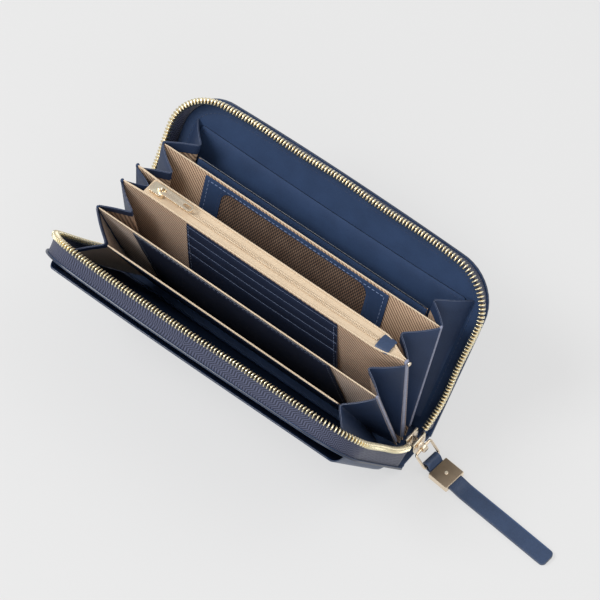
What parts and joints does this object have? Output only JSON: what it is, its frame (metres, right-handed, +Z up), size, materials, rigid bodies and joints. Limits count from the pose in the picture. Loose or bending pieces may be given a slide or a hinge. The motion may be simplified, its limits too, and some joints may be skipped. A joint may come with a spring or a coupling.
{
  "type": "zip around wallet",
  "caption": "Long leather zip around wallet standing open on its spine, with a fan of walls and gussets, a coin pocket, card slots and a pull strap.",
  "frame": {"origin": "middle of the spine's bottom face, which the wallet stands on", "axes": "+X along the spine towards the end where the main slider rests, +Y from the front cover to the back cover, +Z up"},
  "size_m": [0.29, 0.1358, 0.0938],
  "materials": {
    "navy_leather": "grained navy leather, semi-matt",
    "navy_panel_leather": "smooth navy lining leather",
    "beige_twill": "beige diagonal twill",
    "cream_tape": "cream woven zip tape",
    "mesh": "brown open mesh",
    "zip_tape": "navy herringbone zip tape",
    "gold_metal": "polished pale gold plating",
    "board": "pressed stiffener board"
  },
  "bodies": {
    "spine": {"spine_leather": "navy_leather", "spine_lining": "beige_twill", "coin_pocket_front_wall": "beige_twill", "coin_pocket_rear_wall": "beige_twill", "card_panel_backing": "navy_panel_leather", "card_slot_1": "navy_panel_leather", "card_slot_2": "navy_panel_leather", "card_slot_3": "navy_panel_leather", "card_slot_4": "navy_panel_leather", "coin_zip_tape": "cream_tape", "coin_zip_coil": "cream_tape", "coin_zip_end_tab": "navy_leather", "coin_pocket_rivet": "gold_metal", "coin_pocket_end_fold": "navy_panel_leather", "front_inner_gusset_left": "navy_panel_leather", "front_inner_gusset_right": "navy_panel_leather", "rear_inner_gusset_left": "navy_panel_leather", "rear_inner_gusset_right": "navy_panel_leather"},
    "front_cover": {"front_outer_leather": "navy_leather", "front_stiffener_board": "board", "front_cover_lining": "navy_panel_leather", "front_card_slot_1": "navy_panel_leather", "front_card_slot_2": "navy_panel_leather", "front_card_slot_3": "navy_panel_leather", "front_slip_pocket": "navy_leather", "front_zip_tape": "zip_tape", "front_zip_teeth": "gold_metal", "front_zip_end_stop": "gold_metal"},
    "back_cover": {"back_outer_leather": "navy_leather", "back_stiffener_board": "board", "back_cover_lining": "navy_panel_leather", "back_slip_pocket": "navy_panel_leather", "back_zip_tape": "zip_tape", "back_zip_teeth": "gold_metal", "back_zip_end_stop": "gold_metal"},
    "front_divider": {"front_divider_lining": "beige_twill", "front_divider_facing": "navy_panel_leather", "front_gusset_left": "navy_panel_leather", "front_gusset_right": "navy_panel_leather"},
    "front_wall": {"front_wall_lining": "beige_twill", "front_wall_panel": "navy_panel_leather"},
    "rear_wall": {"rear_wall_lining": "beige_twill", "rear_wall_panel": "navy_panel_leather", "rear_wall_window_mesh": "mesh"},
    "back_divider": {"back_divider_lining": "beige_twill", "back_divider_facing": "navy_panel_leather", "back_gusset_left": "navy_panel_leather", "back_gusset_right": "navy_panel_leather"},
    "coin_slider": {"coin_slider": "gold_metal"},
    "coin_pull": {"coin_pull": "gold_metal"},
    "zip_slider": {"main_slider": "gold_metal"},
    "bail": {"main_slider_bail": "gold_metal"},
    "strap": {"strap_loop": "navy_leather", "strap_clasp": "gold_metal", "clasp_stud": "gold_metal", "pull_strap": "navy_leather"}
  },
  "joints": [
    {"name": "front_cover_hinge", "type": "hinge", "parent": "spine", "child": "front_cover", "pos_m": [0, -0.0115, 0.0014], "axis": [-1, 0, 0], "range_deg": [0, 32.2]},
    {"name": "front_divider_hinge", "type": "hinge", "parent": "spine", "child": "front_divider", "pos_m": [0, -0.0054, 0.003], "axis": [-1, 0, 0], "range_deg": [0, 21.25], "deforming": ["front_gusset_left", "front_gusset_right"]},
    {"name": "front_wall_hinge", "type": "hinge", "parent": "spine", "child": "front_wall", "pos_m": [0, -0.0034, 0.003], "axis": [-1, 0, 0], "range_deg": [0, 12.88], "deforming": ["front_inner_gusset_left", "front_inner_gusset_right"]},
    {"name": "back_cover_hinge", "type": "hinge", "parent": "spine", "child": "back_cover", "pos_m": [0, 0.0115, 0.0014], "axis": [1, 0, 0], "range_deg": [0, 33.3]},
    {"name": "rear_wall_hinge", "type": "hinge", "parent": "spine", "child": "rear_wall", "pos_m": [0, 0.0034, 0.003], "axis": [1, 0, 0], "range_deg": [0, 14.49], "deforming": ["rear_inner_gusset_left", "rear_inner_gusset_right"]},
    {"name": "back_divider_hinge", "type": "hinge", "parent": "spine", "child": "back_divider", "pos_m": [0, 0.0054, 0.003], "axis": [1, 0, 0], "range_deg": [0, 23.31], "deforming": ["back_gusset_left", "back_gusset_right"]},
    {"name": "zip_slider_travel", "type": "slide", "parent": "spine", "child": "zip_slider", "axis": [0, 0, 1], "range_m": [0, 0.056]},
    {"name": "bail_hinge", "type": "hinge", "parent": "zip_slider", "child": "bail", "pos_m": [0.1038, 0, 0.01175], "axis": [0, -1, 0], "range_deg": [0, 60]},
    {"name": "strap_hinge", "type": "hinge", "parent": "bail", "child": "strap", "pos_m": [0.10991, 0, 0.00447], "axis": [-0.0924, -0.9957, 0], "range_deg": [0, 55]},
    {"name": "coin_slider_travel", "type": "slide", "parent": "spine", "child": "coin_slider", "axis": [1, 0, 0], "range_m": [0, 0.128]},
    {"name": "coin_pull_hinge", "type": "hinge", "parent": "coin_slider", "child": "coin_pull", "pos_m": [-0.0695, 0.00075, 0.08745], "axis": [0, -1, 0], "range_deg": [0, 170]}
  ],
  "couplings": [
    {"joint": "front_divider_hinge", "follows": "front_cover_hinge", "ratio": 0.66},
    {"joint": "front_wall_hinge", "follows": "front_cover_hinge", "ratio": 0.4},
    {"joint": "zip_slider_travel", "follows": "front_cover_hinge", "m_per_rad": 0.0995},
    {"joint": "rear_wall_hinge", "follows": "back_cover_hinge", "ratio": 0.435},
    {"joint": "back_divider_hinge", "follows": "back_cover_hinge", "ratio": 0.7}
  ]
}
